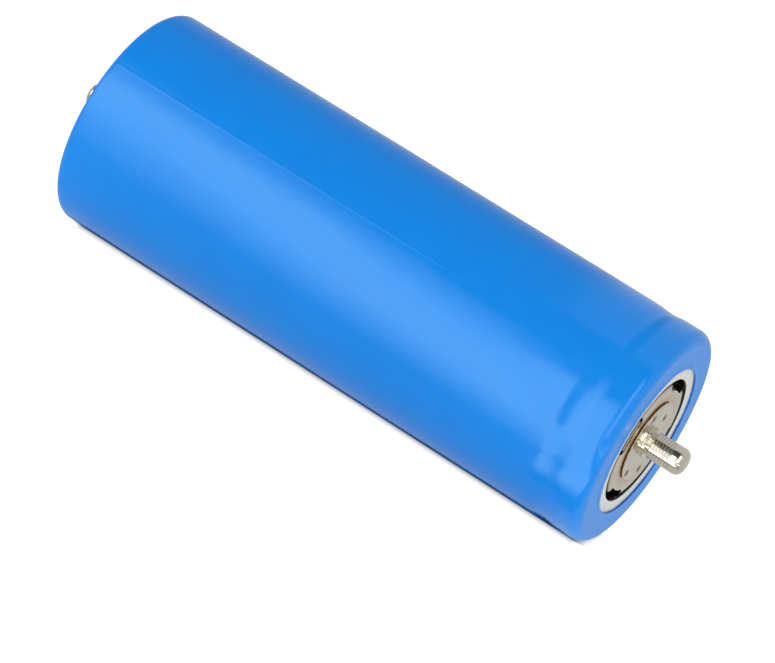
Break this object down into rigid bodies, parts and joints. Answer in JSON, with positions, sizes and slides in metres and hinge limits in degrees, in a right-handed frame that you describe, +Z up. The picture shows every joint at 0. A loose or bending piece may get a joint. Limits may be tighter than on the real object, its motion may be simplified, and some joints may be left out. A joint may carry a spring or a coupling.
{
  "type": "cylindrical battery cell",
  "caption": "Rechargeable cylindrical lithium-ion cell in a blue shrink sleeve, with a flanged threaded contact pin welded on each end.",
  "frame": {"origin": "in the middle of the cell's body, on its axis", "axes": "X runs along the cell, and its positive end points to +X; +Z is up"},
  "size_m": [0.0566, 0.0184, 0.0185],
  "materials": {
    "sleeve_blue": "satin heat-shrink PVC",
    "washer_fibre": "matt fibre board",
    "can_steel": "nickel-plated, drawn",
    "cap_steel": "nickel-plated, satin",
    "pin_plating": "bright nickel plating",
    "gasket_plastic": "translucent polypropylene",
    "ptc_polymer": "filled polymer between nickel foils",
    "vent_aluminium": "rolled",
    "tab_aluminium": "rolled strip",
    "amber_tape": "polyimide film",
    "insulator_film": "pressed fibre sheet",
    "cathode_coating": "coated foil",
    "anode_coating": "coated foil",
    "separator_film": "porous film",
    "winding_tape_film": "polyester film",
    "core_steel": "spring steel",
    "tab_nickel": "rolled strip"
  },
  "bodies": {
    "root": {"sleeve": "sleeve_blue", "insulating_washer": "washer_fibre", "can": "can_steel", "top_cap": "cap_steel", "positive_contact_pin": "pin_plating", "negative_contact_pin": "pin_plating", "gasket": "gasket_plastic", "ptc_ring": "ptc_polymer", "vent_disc": "vent_aluminium", "interrupter_insulator": "gasket_plastic", "interrupter_plate": "vent_aluminium", "positive_tab": "tab_aluminium", "positive_tab_tape": "amber_tape", "top_insulator": "insulator_film", "cathode": "cathode_coating", "anode": "anode_coating", "separator_inner": "separator_film", "separator_outer": "separator_film", "winding_tape": "winding_tape_film", "centre_pin": "core_steel", "negative_tab": "tab_nickel", "bottom_insulator": "insulator_film"}
  },
  "joints": []
}
